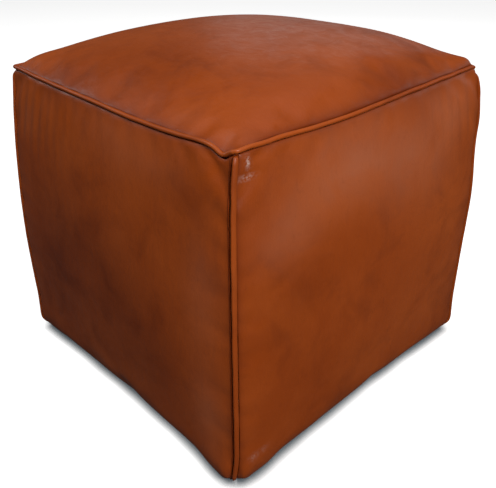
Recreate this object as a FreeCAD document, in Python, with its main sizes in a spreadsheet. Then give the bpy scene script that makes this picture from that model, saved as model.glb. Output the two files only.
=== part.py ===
import FreeCAD, Part
import math
import os
import Sketcher
from FreeCAD import Placement, Rotation, Vector

# A square leather pouf, stuffed, standing on a flat base with a zip across it.
# +Z is up, the front faces -Y, and the origin is the middle of the base on the floor.
# A "section" is the upright profile of a side wall: one long bowed arc and, under it, a small
# arc turning onto the base.  The "face" section is taken square to the middle of a wall, the
# "corner" section along the diagonal.

doc = FreeCAD.newDocument("pouf")
sheet = doc.addObject("Spreadsheet::Sheet", "Sizes")

# The driving sizes, in mm.
SIZES = {
    "leather": 1.6,
    "allowance": 12.0,
    "seam_height": 395.0,
    "crown": 42.0,
    "crown_power": 0.395,
    "face_belly": 228.8,
    "face_belly_height": 164.0,
    "face_bow": 1143.0,
    "face_turn": 36.5,
    "corner_belly": 305.4,
    "corner_belly_height": 87.0,
    "corner_bow": 1875.0,
    "corner_turn": 20.0,
    "base_seam": 176.0,
    "flush": 0.0,
    "leather_skew": 2.2,
    "fin_root": 1.75,
    "ply_gap": 0.1,
    "welt_ply": 1.0,
    "bead_radius": 2.9,
    "cord_bore": 1.9,
    "cord_radius": 1.8,
    "bead_stand": 2.9,
    "trough_rise": 3.2,
    "trough_half": 19.5,
    "trough_slope": 6.0,
    "zip_mouth": 5.5,
    "tape_half_length": 172.0,
    "tape_edge": 3.25,
    "tape_outer": 18.0,
    "tape_under": 4.9,
    "tape_thickness": 0.6,
    "tooth_tip": 0.8,
    "tooth_root": 3.2,
    "tooth_spine": 2.2,
    "tooth_under": 4.1,
    "tooth_over": 6.3,
    "spine_under": 4.5,
    "spine_over": 5.9,
    "tooth_width": 1.3,
    "tooth_run": 330.0,
    "tooth_count": 133,
    "slider_park": -152.0,
    "slider_half_length": 6.0,
    "slider_half_width": 4.6,
    "plate": 0.9,
    "slider_under": 2.9,
    "slider_over": 7.5,
    "lip_inner": 3.6,
    "lip_gap": 0.35,
    "post_half": 0.45,
    "bridge_half_length": 3.5,
    "bridge_half_width": 1.2,
    "bridge_bar": 0.8,
    "bridge_drop": 2.3,
    "pull_under": 1.7,
    "pull_over": 2.6,
    "pull_half_width": 3.0,
    "pull_arm": 1.4,
    "pull_pin": 0.9,
    "pull_behind": 1.5,
    "pull_window": 4.6,
    "pull_reach": 24.0,
    "stitch_line": 8.0,
    "bag_gap": 0.4,
    "calico": 0.8,
    "bag_foot": 173.0,
    "bag_floor": 1.9,
    "bag_ledge": 14.0,
    "bag_trough_half": 27.0,
    "bag_trough_rise": 8.2,
}

# Sizes worked out from the driving ones.
DERIVED = {
    "face_centre": "=face_belly - face_bow",
    "corner_centre": "=corner_belly - corner_bow",
    "face_top": "=face_centre + sqrt(face_bow ^ 2 - (seam_height - face_belly_height) ^ 2)",
    "corner_top": "=corner_centre + sqrt(corner_bow ^ 2 - (seam_height - corner_belly_height) ^ 2)",
    "corner_half": "=corner_top / sqrt(2)",
    "face_turn_centre":
        "=face_centre + sqrt((face_bow - face_turn) ^ 2 - (face_belly_height - face_turn) ^ 2)",
    "corner_turn_centre":
        "=corner_centre + sqrt((corner_bow - corner_turn) ^ 2"
        " - (corner_belly_height - corner_turn) ^ 2)",
    "base_corner": "=base_seam * sqrt(2)",
    "seam_bow": "=((face_top - corner_half) ^ 2 + corner_half ^ 2) / (2 * (face_top - corner_half))",
    "flange_thickness": "=2 * welt_ply",
    "seam_offset": "=welt_ply + ply_gap",
    "mitre_back": "=1.5 * seam_offset + 1",
    "fin_top": "=seam_height - leather / 2",
    "corner_welt_top": "=seam_height - 2",
    "bead_top":
        "=corner_centre + sqrt((corner_bow + bead_stand) ^ 2"
        " - (corner_welt_top - corner_belly_height) ^ 2)",
    "welt_foot": "=base_corner + 0.3",
    "fin_foot": "=base_corner + 0.8",
    "bead_line": "=-bead_stand",
    "web_root": "=welt_ply",
    "bead_stop": "=corner_turn - (corner_turn + bead_stand) * sin(45)",
    "web_stop": "=corner_turn - (corner_turn - web_root) * sin(45)",
    "bead_angle": "=2 * asin((corner_half - bead_radius) / (seam_bow + bead_stand))",
    "panel_seat": "=seam_height + flange_thickness + 2 * ply_gap",
    "zip_edge_under": "=trough_rise",
    "zip_edge_over": "=trough_rise + leather",
}

CROWN_LEVELS = [0.0, 0.25, 0.5, 0.7, 0.85, 0.95, 0.995]


def put(alias, text):
    """Write one named cell at the foot of the sheet."""
    put.row += 1
    sheet.set("A{}".format(put.row), alias)
    sheet.set("B{}".format(put.row), text)
    sheet.setAlias("B{}".format(put.row), alias)


def size(alias):
    """The present value of a named cell."""
    return float(sheet.get(alias))


def fill_sheet():
    put.row = 0
    for alias, number in SIZES.items():
        put(alias, str(number))
    for alias, text in DERIVED.items():
        put(alias, text)
    doc.recompute()


# ---------------------------------------------------------------- drawing helpers

def new_body(label):
    body = doc.addObject("PartDesign::Body", "Body")
    body.Label = label
    return body


def turned(angle):
    """A sketch frame swung round the upright axis, from +X towards +Y."""
    return Placement(Vector(), Rotation(Vector(0, 1, 0), angle))


def shifted(angle, distance):
    """The same, moved off its plane by a distance along the plane's normal."""
    turn = Rotation(Vector(0, 1, 0), angle)
    return Placement(turn.multVec(Vector(0, 0, distance)), turn)


def new_sketch(body, name, role, frame=None):
    sketch = body.newObject("Sketcher::SketchObject", name)
    origin_plane = [part for part in body.Origin.OriginFeatures if part.Role == role][0]
    sketch.AttachmentSupport = [(origin_plane, "")]
    sketch.MapMode = "FlatFace"
    if frame is not None:
        sketch.AttachmentOffset = frame
    return sketch


def lift(sketch, formula):
    """Raise a sketch off its plane by a sheet formula."""
    sketch.setExpression("AttachmentOffset.Base.z", formula)


def named(formula):
    """Point the words of a formula at the sheet."""
    words = formula.replace("(", " ( ").replace(")", " ) ").split()
    known = set(SIZES) | set(DERIVED) | named.more
    return " ".join("Sizes." + word if word in known else word for word in words)


named.more = set()


def pin(sketch, kind, edge, point, formula):
    """Hold one coordinate of a point at a sheet formula."""
    here = sketch.getPoint(edge, point)
    value = here.x if kind == "DistanceX" else here.y
    index = sketch.addConstraint(Sketcher.Constraint(kind, -1, 1, edge, point, value))
    sketch.setExpression("Constraints[{}]".format(index), named(formula))


def pin_radius(sketch, edge, formula):
    radius = sketch.Geometry[edge].Radius
    index = sketch.addConstraint(Sketcher.Constraint("Radius", edge, radius))
    sketch.setExpression("Constraints[{}]".format(index), named(formula))


def weld(sketch, edge, point, other, other_point):
    sketch.addConstraint(Sketcher.Constraint("Coincident", edge, point, other, other_point))


def polygon(sketch, corners):
    """A closed outline through corners given as pairs of sheet formulas."""
    count = len(corners)
    ring = []
    for step in range(count):
        angle = 2 * math.pi * step / count
        ring.append(Vector(10 * math.cos(angle), 10 * math.sin(angle), 0))
    edges = []
    for step in range(count):
        line = Part.LineSegment(ring[step], ring[(step + 1) % count])
        edges.append(sketch.addGeometry(line))
    for step in range(count):
        weld(sketch, edges[step], 2, edges[(step + 1) % count], 1)
    for edge, (across, along) in zip(edges, corners):
        pin(sketch, "DistanceX", edge, 1, across)
        pin(sketch, "DistanceY", edge, 1, along)


def rectangle(sketch, left, right, low, high):
    polygon(sketch, [(left, low), (right, low), (right, high), (left, high)])


def circle(sketch, across, along, radius):
    start = Vector(10, 10, 0)
    edge = sketch.addGeometry(Part.Circle(start, Vector(0, 0, 1), 3.0))
    pin(sketch, "DistanceX", edge, 3, across)
    pin(sketch, "DistanceY", edge, 3, along)
    pin_radius(sketch, edge, radius)


def arc(sketch, across, along, radius, start, end):
    shape = Part.ArcOfCircle(Part.Circle(Vector(across, along, 0), Vector(0, 0, 1), radius), start, end)
    return sketch.addGeometry(shape)


def line(sketch, start, end):
    return sketch.addGeometry(Part.LineSegment(start, end))


def bowed_square(sketch, middle, corner):
    """A square outline with bowed sides: half-width at the middle of a side and at a corner."""
    half = size(corner)
    bow = size(middle) - half
    radius = (bow ** 2 + half ** 2) / (2 * bow)
    swing = math.atan2(half, radius - bow)
    edges = []
    for step in range(4):
        angle = step * math.pi / 2
        centre = half + bow - radius
        edges.append(arc(sketch, centre * math.cos(angle), centre * math.sin(angle),
                         radius, angle - swing, angle + swing))
    signs = [(1, -1), (1, 1), (-1, 1), (-1, -1)]
    for step, edge in enumerate(edges):
        weld(sketch, edge, 2, edges[(step + 1) % 4], 1)
        pin(sketch, "DistanceX", edge, 1, "{} * {}".format(signs[step][0], corner))
        pin(sketch, "DistanceY", edge, 1, "{} * {}".format(signs[step][1], corner))
        pin_radius(sketch, edge, "( ( {0} - {1} ) ^ 2 + {1} ^ 2 ) / ( 2 * ( {0} - {1} ) )"
                   .format(middle, corner))


def wall_line(sketch, section, offset, top, low=-math.pi / 2):
    """The bowed arc and the turn of a wall section, a given depth under its surface."""
    centre = size(section + "_centre")
    belly_height = size(section + "_belly_height")
    bow = size(section + "_bow") - size(offset)
    turn = size(section + "_turn")
    turn_centre = size(section + "_turn_centre")
    meeting = math.atan2(turn - belly_height, turn_centre - centre)
    top_angle = math.asin((size(top) - belly_height) / bow)
    wall = arc(sketch, centre, belly_height, bow, meeting, top_angle)
    round_over = arc(sketch, turn_centre, turn, turn - size(offset), low, meeting)
    pin(sketch, "DistanceX", wall, 3, section + "_centre")
    pin(sketch, "DistanceY", wall, 3, section + "_belly_height")
    pin_radius(sketch, wall, section + "_bow - " + offset)
    pin(sketch, "DistanceY", wall, 2, top)
    sketch.addConstraint(Sketcher.Constraint("Tangent", wall, 1, round_over, 2))
    pin_radius(sketch, round_over, section + "_turn - " + offset)
    return wall, round_over


def wall_band(sketch, section, outer, inner, top, foot):
    """A strip of the wall section between two depths, from the top down to a foot on the base."""
    bands = []
    for offset in (outer, inner):
        wall, round_over = wall_line(sketch, section, offset, top)
        start = sketch.getPoint(round_over, 1)
        floor = line(sketch, start, Vector(size(foot), start.y, 0))
        sketch.addConstraint(Sketcher.Constraint("Tangent", round_over, 1, floor, 1))
        sketch.addConstraint(Sketcher.Constraint("Horizontal", floor))
        pin(sketch, "DistanceX", floor, 2, foot)
        pin(sketch, "DistanceY", floor, 2, offset)
        bands.append((wall, floor))
    (outer_wall, outer_floor), (inner_wall, inner_floor) = bands
    cap = line(sketch, sketch.getPoint(outer_wall, 2), sketch.getPoint(inner_wall, 2))
    heel = line(sketch, sketch.getPoint(outer_floor, 2), sketch.getPoint(inner_floor, 2))
    weld(sketch, cap, 1, outer_wall, 2)
    weld(sketch, cap, 2, inner_wall, 2)
    weld(sketch, heel, 1, outer_floor, 2)
    weld(sketch, heel, 2, inner_floor, 2)


def settle(body, feature):
    """Work a new feature out and stop if it fails."""
    doc.recompute()
    if "Invalid" in feature.State:
        raise RuntimeError("{} in {} did not build".format(feature.Label, body.Label))
    return feature


def pad(body, sketch, length, midplane=False, reverse=False):
    feature = body.newObject("PartDesign::Pad", "Pad")
    feature.Profile = sketch
    feature.setExpression("Length", named(length))
    feature.Midplane = midplane
    feature.Reversed = reverse
    return settle(body, feature)


def pocket(body, sketch, length, midplane=False, reverse=False):
    before = body.Shape.Volume
    feature = body.newObject("PartDesign::Pocket", "Pocket")
    feature.Profile = sketch
    feature.setExpression("Length", named(length))
    feature.Midplane = midplane
    feature.Reversed = reverse
    settle(body, feature)
    if body.Shape.Volume > before - 1e-3:
        raise RuntimeError("a pocket in {} cut nothing".format(body.Label))
    return feature


def loft(body, sketches, ruled=False):
    feature = body.newObject("PartDesign::AdditiveLoft", "Loft")
    feature.Profile = sketches[0]
    feature.Sections = sketches[1:]
    feature.Ruled = ruled
    return settle(body, feature)


def swing(part, angle):
    """Turn a finished part round the upright axis."""
    part.Placement = Placement(Vector(), Rotation(Vector(0, 0, 1), angle))


# ---------------------------------------------------------------- side panels

def side_panel(label, angle):
    """One wall of leather with its seam allowances turned inside, drawn facing +X."""
    body = new_body(label)
    lower = new_sketch(body, "NearCorner", "XZ_Plane", shifted(-45, -size("seam_offset")))
    wall_band(lower, "corner", "flush", "leather_skew", "seam_height", "base_corner")
    middle = new_sketch(body, "MidFace", "XZ_Plane")
    wall_band(middle, "face", "flush", "leather", "seam_height", "base_seam")
    upper = new_sketch(body, "FarCorner", "XZ_Plane", shifted(45, size("seam_offset")))
    wall_band(upper, "corner", "flush", "leather_skew", "seam_height", "base_corner")
    loft(body, [lower, middle, upper])

    # the top allowance lies flat under the welt
    flange = new_sketch(body, "TopFlange", "XY_Plane")
    lift(flange, named("seam_height - leather"))
    outline = [
        ("corner_half - allowance", "-1 * ( corner_half - allowance - mitre_back )"),
        ("corner_half - 1", "-1 * ( corner_half - 1 - mitre_back )"),
        ("face_top - 1", "0"),
        ("corner_half - 1", "corner_half - 1 - mitre_back"),
        ("corner_half - allowance", "corner_half - allowance - mitre_back"),
        ("face_top - allowance", "0"),
    ]
    polygon(flange, outline)
    pad(body, flange, "leather")

    # the corner allowances lie against the diagonal planes
    for name, turn, away in (("NearFin", -45, -1), ("FarFin", 45, 1)):
        fin = new_sketch(body, name, "XZ_Plane", shifted(turn, away * size("seam_offset")))
        wall_band(fin, "corner", "fin_root", "allowance", "fin_top", "fin_foot")
        pad(body, fin, "leather", reverse=away < 0)

    # the base allowance stands up, mitred at both ends
    fin = new_sketch(body, "BaseFin", "XY_Plane")
    polygon(fin, [
        ("base_seam", "-1 * ( base_seam - 1.5 * seam_offset )"),
        ("base_seam + leather", "-1 * ( base_seam + leather - 1.5 * seam_offset )"),
        ("base_seam + leather", "base_seam + leather - 1.5 * seam_offset"),
        ("base_seam", "base_seam - 1.5 * seam_offset"),
    ])
    pad(body, fin, "allowance")
    swing(body, angle)
    return body


# ---------------------------------------------------------------- corner welts

def corner_path(sketch):
    """The line the bead of a corner welt follows, down the corner and part way round the turn."""
    wall, round_over = wall_line(sketch, "corner", "bead_line", "corner_welt_top", -math.pi / 4)
    pin(sketch, "DistanceY", round_over, 3, "corner_turn")
    pin(sketch, "DistanceY", round_over, 1, "bead_stop")


def corner_pipe(body, path, name, radius, hollow=False):
    """Sweep a round section down a corner."""
    section = new_sketch(body, name, "XY_Plane")
    lift(section, named("corner_welt_top"))
    middle = Vector(size("bead_top"), 0, 0)
    edge = section.addGeometry(Part.Circle(middle, Vector(0, 0, 1), size(radius)))
    pin(section, "DistanceX", edge, 3, "bead_top")
    pin(section, "DistanceY", edge, 3, "flush")
    pin_radius(section, edge, radius)
    kind = "PartDesign::SubtractivePipe" if hollow else "PartDesign::AdditivePipe"
    feature = body.newObject(kind, "Pipe")
    feature.Profile = section
    feature.Spine = (path, ["Edge1", "Edge2"])
    return settle(body, feature)


def corner_welt(label, angle):
    """A folded strip sewn into a corner seam, its bead round a cord; drawn along +X."""
    body = new_body(label)
    flange = new_sketch(body, "Flange", "XZ_Plane")
    wall_band(flange, "corner", "flush", "allowance", "corner_welt_top", "welt_foot")
    pad(body, flange, "flange_thickness", midplane=True)

    web = new_sketch(body, "Web", "XZ_Plane")
    outer_wall, outer_turn = wall_line(web, "corner", "bead_line", "corner_welt_top", -math.pi / 4)
    inner_wall, inner_turn = wall_line(web, "corner", "web_root", "corner_welt_top", -math.pi / 4)
    for turn in (outer_turn, inner_turn):
        pin(web, "DistanceY", turn, 3, "corner_turn")
    pin(web, "DistanceY", outer_turn, 1, "bead_stop")
    pin(web, "DistanceY", inner_turn, 1, "web_stop")
    cap = line(web, web.getPoint(outer_wall, 2), web.getPoint(inner_wall, 2))
    heel = line(web, web.getPoint(outer_turn, 1), web.getPoint(inner_turn, 1))
    weld(web, cap, 1, outer_wall, 2)
    weld(web, cap, 2, inner_wall, 2)
    weld(web, heel, 1, outer_turn, 1)
    weld(web, heel, 2, inner_turn, 1)
    pad(body, web, "flange_thickness", midplane=True)

    path = new_sketch(body, "BeadPath", "XZ_Plane")
    corner_path(path)
    doc.recompute()
    corner_pipe(body, path, "Bead", "bead_radius")
    corner_pipe(body, path, "Bore", "cord_bore", hollow=True)
    swing(body, angle)
    return body


def corner_cord(label, angle):
    """The round cord inside a corner welt."""
    body = new_body(label)
    path = new_sketch(body, "CordPath", "XZ_Plane")
    corner_path(path)
    doc.recompute()
    corner_pipe(body, path, "Cord", "cord_radius")
    swing(body, angle)
    return body


# ---------------------------------------------------------------- top welts

def revolve(body, sketch, angle, hollow=False):
    """Sweep a section along the bowed top seam."""
    kind = "PartDesign::Groove" if hollow else "PartDesign::Revolution"
    feature = body.newObject(kind, "Sweep")
    feature.Profile = sketch
    feature.ReferenceAxis = (sketch, ["Axis0"])
    feature.Midplane = True
    feature.setExpression("Angle", named(angle))
    return settle(body, feature)


def bow_axis(sketch):
    """The upright axis the top seam bends about."""
    middle = size("face_top") - size("seam_bow")
    axis = sketch.addGeometry(Part.LineSegment(Vector(middle, 0, 0), Vector(middle, 50, 0)), True)
    sketch.addConstraint(Sketcher.Constraint("Vertical", axis))
    pin(sketch, "DistanceX", axis, 1, "face_top - seam_bow")
    pin(sketch, "DistanceY", axis, 1, "flush")
    sketch.addConstraint(Sketcher.Constraint("DistanceY", axis, 1, axis, 2, 50.0))


def bead_section(body, name, radius):
    sketch = new_sketch(body, name, "XZ_Plane")
    edge = sketch.addGeometry(Part.Circle(Vector(200, 390, 0), Vector(0, 0, 1), size(radius)))
    pin(sketch, "DistanceX", edge, 3, "face_top + bead_stand + ply_gap")
    pin(sketch, "DistanceY", edge, 3, "seam_height + welt_ply + ply_gap")
    pin_radius(sketch, edge, radius)
    bow_axis(sketch)
    return sketch


def mitre(body):
    """Cut both ends back to the diagonals."""
    sketch = new_sketch(body, "Mitre", "XY_Plane")
    for side in ("", "-1 * "):
        polygon(sketch, [
            ("0", side + "( 2 * ply_gap )"),
            ("2 * base_seam", side + "( 2 * base_seam + 2 * ply_gap - 4 * ply_gap )"),
            ("2 * base_seam", side + "( 3 * base_seam )"),
            ("0", side + "( 3 * base_seam )"),
        ])
    pocket(body, sketch, "4 * seam_height", midplane=True)


def top_welt(label, angle):
    """A folded strip sewn into the top seam along one side; drawn along the +X side."""
    body = new_body(label)
    flange = new_sketch(body, "Flange", "XZ_Plane")
    rectangle(flange, "face_top - allowance", "face_top + ply_gap + 0.5",
              "seam_height + ply_gap", "seam_height + ply_gap + flange_thickness")
    bow_axis(flange)
    revolve(body, flange, "10 deg")
    mitre(body)
    revolve(body, bead_section(body, "Bead", "bead_radius"), "bead_angle")
    revolve(body, bead_section(body, "Bore", "cord_bore"), "10 deg", hollow=True)
    swing(body, angle)
    return body


def top_cord(label, angle):
    """The round cord inside a top welt."""
    body = new_body(label)
    revolve(body, bead_section(body, "Cord", "cord_radius"), "bead_angle")
    swing(body, angle)
    return body


# ---------------------------------------------------------------- crowned shapes

def crown_cells(prefix, middle, corner, seat, rise, inset):
    """Cells for the outlines of a crowned square top, each drawn in by a thickness."""
    for step, level in enumerate(CROWN_LEVELS):
        reach = "sqrt(1 - {} ^ (1 / crown_power))".format(level)
        diagonal = "sqrt(1 - {} ^ (0.5 / crown_power))".format(level)
        if level == 0.0:
            lean_in = "1"
            lean_down = "0"
        else:
            slope = ("(2 * crown_power * {0} * {1} * (1 - {0} ^ 2) ^ (crown_power - 1) / {2})"
                     .format(reach, rise, middle))
            lean_in = "({0} / sqrt(1 + {0} ^ 2))".format(slope)
            lean_down = "(1 / sqrt(1 + {0} ^ 2))".format(slope)
        cells = {
            "middle": "=({}) * {} - ({}) * {}".format(middle, reach, inset, lean_in),
            "corner": "=({}) * {} - ({}) * {}".format(corner, diagonal, inset, lean_in),
            "height": "={} + ({}) * {} - ({}) * {}".format(seat, rise, level, inset, lean_down),
        }
        for word, text in cells.items():
            alias = "{}_{}_{}".format(prefix, word, step)
            put(alias, text)
            named.more.add(alias)
    doc.recompute()


def crown_loft(body, prefix, hollow=False):
    sketches = []
    for step in range(len(CROWN_LEVELS)):
        sketch = new_sketch(body, "Crown", "XY_Plane")
        lift(sketch, named("{}_height_{}".format(prefix, step)))
        bowed_square(sketch, "{}_middle_{}".format(prefix, step), "{}_corner_{}".format(prefix, step))
        sketches.append(sketch)
    kind = "PartDesign::SubtractiveLoft" if hollow else "PartDesign::AdditiveLoft"
    feature = body.newObject(kind, "CrownLoft")
    feature.Profile = sketches[0]
    feature.Sections = sketches[1:]
    return settle(body, feature)


def top_panel():
    """The crowned top of leather with its flat seam allowance."""
    crown_cells("skin", "face_top", "corner_half", "panel_seat", "crown", "0")
    crown_cells("hide", "face_top", "corner_half", "panel_seat", "crown", "leather")
    put("ring_middle", "=face_top - allowance")
    put("ring_corner", "=corner_half - allowance")
    named.more.update(("ring_middle", "ring_corner"))
    doc.recompute()
    body = new_body("top_panel")
    crown_loft(body, "skin")
    crown_loft(body, "hide", hollow=True)
    ring = new_sketch(body, "Allowance", "XY_Plane")
    lift(ring, named("panel_seat"))
    bowed_square(ring, "hide_middle_0", "hide_corner_0")
    bowed_square(ring, "ring_middle", "ring_corner")
    pad(body, ring, "leather")
    return body


# ---------------------------------------------------------------- base and zip

def base_panel(label, angle):
    """Half of the base: flat, lifted beside the zip, with standing allowances; drawn at +Y."""
    body = new_body(label)
    edge = "base_seam - ply_gap"
    profile = new_sketch(body, "Profile", "YZ_Plane")
    polygon(profile, [
        ("zip_mouth", "zip_edge_under"),
        ("trough_half", "zip_edge_under"),
        ("trough_half + trough_slope", "flush"),
        (edge, "flush"),
        (edge, "allowance"),
        (edge + " - leather", "allowance"),
        (edge + " - leather", "leather"),
        ("trough_half + trough_slope + 0.5", "leather"),
        ("trough_half + 0.5", "zip_edge_over"),
        ("zip_mouth", "zip_edge_over"),
    ])
    pad(body, profile, "2 * ( base_seam - ply_gap )", midplane=True)
    ends = new_sketch(body, "Ends", "XY_Plane")
    for side in ("", "-1 * "):
        polygon(ends, [
            (side + "( " + edge + " - leather )", "ply_gap"),
            (side + "( " + edge + " )", "ply_gap"),
            (side + "( " + edge + " )", edge),
            (side + "( " + edge + " - leather )", edge),
        ])
    pad(body, ends, "allowance")
    swing(body, angle)
    return body


def bar(body, name, left, right, low, high, floor, height):
    """A square bar drawn in plan and padded up from a floor."""
    sketch = new_sketch(body, name, "XY_Plane")
    lift(sketch, named(floor))
    rectangle(sketch, left, right, low, high)
    return pad(body, sketch, height)


def zip_tape(label, angle):
    body = new_body(label)
    bar(body, "Tape", "-1 * tape_half_length", "tape_half_length", "tape_edge", "tape_outer",
        "tape_under", "tape_thickness")
    swing(body, angle)
    return body


def zip_teeth(label, angle):
    """A row of teeth on one moulded spine."""
    body = new_body(label)
    bar(body, "Spine", "-0.5 * tooth_run - tooth_width", "0.5 * tooth_run + tooth_width",
        "tooth_spine", "tooth_root", "spine_under", "spine_over - spine_under")
    sketch = new_sketch(body, "Tooth", "XY_Plane")
    lift(sketch, named("tooth_under"))
    rectangle(sketch, "-0.5 * tooth_run - 0.5 * tooth_width", "-0.5 * tooth_run + 0.5 * tooth_width",
              "tooth_tip", "tooth_root")
    tooth = pad(body, sketch, "tooth_over - tooth_under")
    row = body.newObject("PartDesign::LinearPattern", "Row")
    row.Originals = [tooth]
    row.Direction = (sketch, ["H_Axis"])
    row.setExpression("Length", named("tooth_run"))
    row.setExpression("Occurrences", named("tooth_count"))
    body.Tip = row
    settle(body, row)
    swing(body, angle)
    return body


def zip_stop(label, across, low, high, angle):
    """A small metal clamp closed over the tape beside the last tooth."""
    body = new_body(label)
    bar(body, "Block", across + " - 1", across + " + 1", low, high, "tooth_under", "2.2")
    slot = new_sketch(body, "Slot", "XY_Plane")
    lift(slot, named("tape_under - ply_gap"))
    rectangle(slot, across + " - 2", across + " + 2", "tape_edge - ply_gap", "tooth_root + 3")
    pocket(body, slot, "tape_thickness + 2 * ply_gap", reverse=True)
    swing(body, angle)
    return body


def zip_bottom_stop():
    """One clamp across both tapes at the closed end."""
    body = new_body("zip_bottom_stop")
    across = "0.5 * tooth_run + 4"
    bar(body, "Block", across + " - 1", across + " + 1", "-4.5", "4.5", "tooth_under", "2.2")
    slot = new_sketch(body, "Slot", "XY_Plane")
    lift(slot, named("tape_under - ply_gap"))
    rectangle(slot, across + " - 2", across + " + 2", "tape_edge - ply_gap", "tooth_root + 3")
    rectangle(slot, across + " - 2", across + " + 2", "-1 * ( tooth_root + 3 )",
              "-1 * ( tape_edge - ply_gap )")
    pocket(body, slot, "tape_thickness + 2 * ply_gap", reverse=True)
    return body


def zip_slider():
    """Two plates joined by a post, lips that hug the teeth, and a bridge for the pull."""
    body = new_body("zip_slider")
    left = "slider_park - slider_half_length"
    right = "slider_park + slider_half_length"
    wide = "slider_half_width"
    bar(body, "LowerPlate", left, right, "-1 * " + wide, wide, "slider_under", "plate")
    bar(body, "Post", left + " + 0.6", left + " + 3", "-1 * post_half", "post_half",
        "slider_under", "slider_over - slider_under")
    bar(body, "UpperPlate", left, right, "-1 * " + wide, wide, "slider_over - plate", "plate")
    for name, low, high in (("Near", "-1 * " + wide, "-1 * lip_inner"), ("Far", "lip_inner", wide)):
        bar(body, name + "LowerLip", left, right, low, high, "slider_under",
            "tape_under - lip_gap - slider_under")
        bar(body, name + "UpperLip", left, right, low, high,
            "tape_under + tape_thickness + lip_gap",
            "slider_over - tape_under - tape_thickness - lip_gap")
    arch = new_sketch(body, "Bridge", "XZ_Plane")
    rectangle(arch, "slider_park - bridge_half_length", "slider_park + bridge_half_length",
              "slider_under - bridge_drop", "slider_under + 0.2")
    pad(body, arch, "2 * bridge_half_width", midplane=True)
    window = new_sketch(body, "BridgeWindow", "XZ_Plane")
    rectangle(window, "slider_park - bridge_half_length + bridge_bar",
              "slider_park + bridge_half_length - bridge_bar",
              "slider_under - bridge_drop + bridge_bar", "slider_under")
    pocket(body, window, "4 * bridge_half_width", midplane=True)
    return body


def zip_pull():
    """A flat tab with a window round the bridge; its end bar is the hinge."""
    body = new_body("zip_pull")
    bar(body, "Tab", "slider_park - pull_behind", "slider_park + pull_reach",
        "-1 * pull_half_width", "pull_half_width", "pull_under", "pull_over - pull_under")
    window = new_sketch(body, "Window", "XY_Plane")
    lift(window, named("pull_under - 1"))
    rectangle(window, "slider_park - pull_behind + pull_pin", "slider_park + pull_window",
              "-1 * ( pull_half_width - pull_arm )", "pull_half_width - pull_arm")
    pocket(body, window, "4", reverse=True)
    return body


def zip_stitching(label, angle):
    """The line of lockstitch that holds a tape to the leather."""
    body = new_body(label)
    bar(body, "Thread", "-1 * tape_half_length", "tape_half_length",
        "stitch_line - 0.4", "stitch_line + 0.4", "trough_rise - 0.45", "0.4")
    swing(body, angle)
    return body


# ---------------------------------------------------------------- bag and stuffing

BAG_LEVELS = [14.0, 50.0, 120.0, 200.0, 290.0, 392.0]


def cushion_cells(prefix, inset):
    """Cells for the outlines of the stuffed shape inside the leather, drawn in by an inset."""
    for step, level in enumerate(BAG_LEVELS):
        wall = ("face_centre + sqrt(face_bow ^ 2 - ({} - face_belly_height) ^ 2) - leather"
                .format(level))
        edge = ("(corner_centre + sqrt(corner_bow ^ 2 - ({} - corner_belly_height) ^ 2)"
                " - leather_skew - allowance) / sqrt(2)".format(level))
        if step == 0:
            wall = "base_seam + 23"
            edge = "base_seam + 10"
        cells = {
            "middle": "={} - bag_gap - {}".format(wall, inset),
            "corner": "={} - bag_gap - {}".format(edge, inset),
        }
        for word, text in cells.items():
            alias = "{}_wall_{}_{}".format(prefix, word, step)
            put(alias, text)
            named.more.add(alias)
    cells = {
        "neck_middle": "=face_top - allowance - 2 * bag_gap - 2.4 - {}".format(inset),
        "neck_corner": "=corner_half - allowance - 2 * bag_gap - {}".format(inset),
        "neck_top": "=panel_seat + leather + bag_gap - {}".format(inset),
        "rise": "=panel_seat + crown - leather - bag_gap - (panel_seat + leather + bag_gap)",
        "foot_middle": "=bag_foot + 0.5 - {}".format(inset),
        "foot_corner": "=bag_foot - {}".format(inset),
        "floor": "=bag_floor + {}".format(inset),
        "ledge": "=bag_ledge + {}".format(inset),
        "shoulder": "=392 - {}".format(inset),
        "trough_half": "=bag_trough_half + {}".format(inset),
        "trough_rise": "=bag_trough_rise + {}".format(inset),
    }
    for word, text in cells.items():
        alias = "{}_{}".format(prefix, word)
        put(alias, text)
        named.more.add(alias)
    doc.recompute()
    crown_cells(prefix, prefix + "_neck_middle", prefix + "_neck_corner", prefix + "_neck_top",
                prefix + "_rise", "0")


def cushion(label, prefix, inset):
    """The stuffed shape: a foot between the base seams, the wall, a neck, and the crown."""
    cushion_cells(prefix, inset)
    body = new_body(label)
    sketches = []
    for step, level in enumerate(BAG_LEVELS):
        sketch = new_sketch(body, "Wall", "XY_Plane")
        height = str(level)
        if step == 0:
            height = prefix + "_ledge"
        if step == len(BAG_LEVELS) - 1:
            height = prefix + "_shoulder"
        lift(sketch, named(height))
        bowed_square(sketch, "{}_wall_middle_{}".format(prefix, step),
                     "{}_wall_corner_{}".format(prefix, step))
        sketches.append(sketch)
    loft(body, sketches, ruled=True)
    foot = new_sketch(body, "Foot", "XY_Plane")
    lift(foot, named(prefix + "_floor"))
    bowed_square(foot, prefix + "_foot_middle", prefix + "_foot_corner")
    pad(body, foot, "{0}_ledge - {0}_floor + 2".format(prefix))
    neck = new_sketch(body, "Neck", "XY_Plane")
    lift(neck, named(prefix + "_shoulder - 2"))
    bowed_square(neck, prefix + "_neck_middle", prefix + "_neck_corner")
    pad(body, neck, "{0}_neck_top - {0}_shoulder + 2".format(prefix))
    crown_loft(body, prefix)
    trough = new_sketch(body, "Trough", "XY_Plane")
    rectangle(trough, "-200", "200", "-1 * {}_trough_half".format(prefix),
              "{}_trough_half".format(prefix))
    pocket(body, trough, "{}_trough_rise".format(prefix), reverse=True)
    return body


# ---------------------------------------------------------------- the whole pouf

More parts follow.
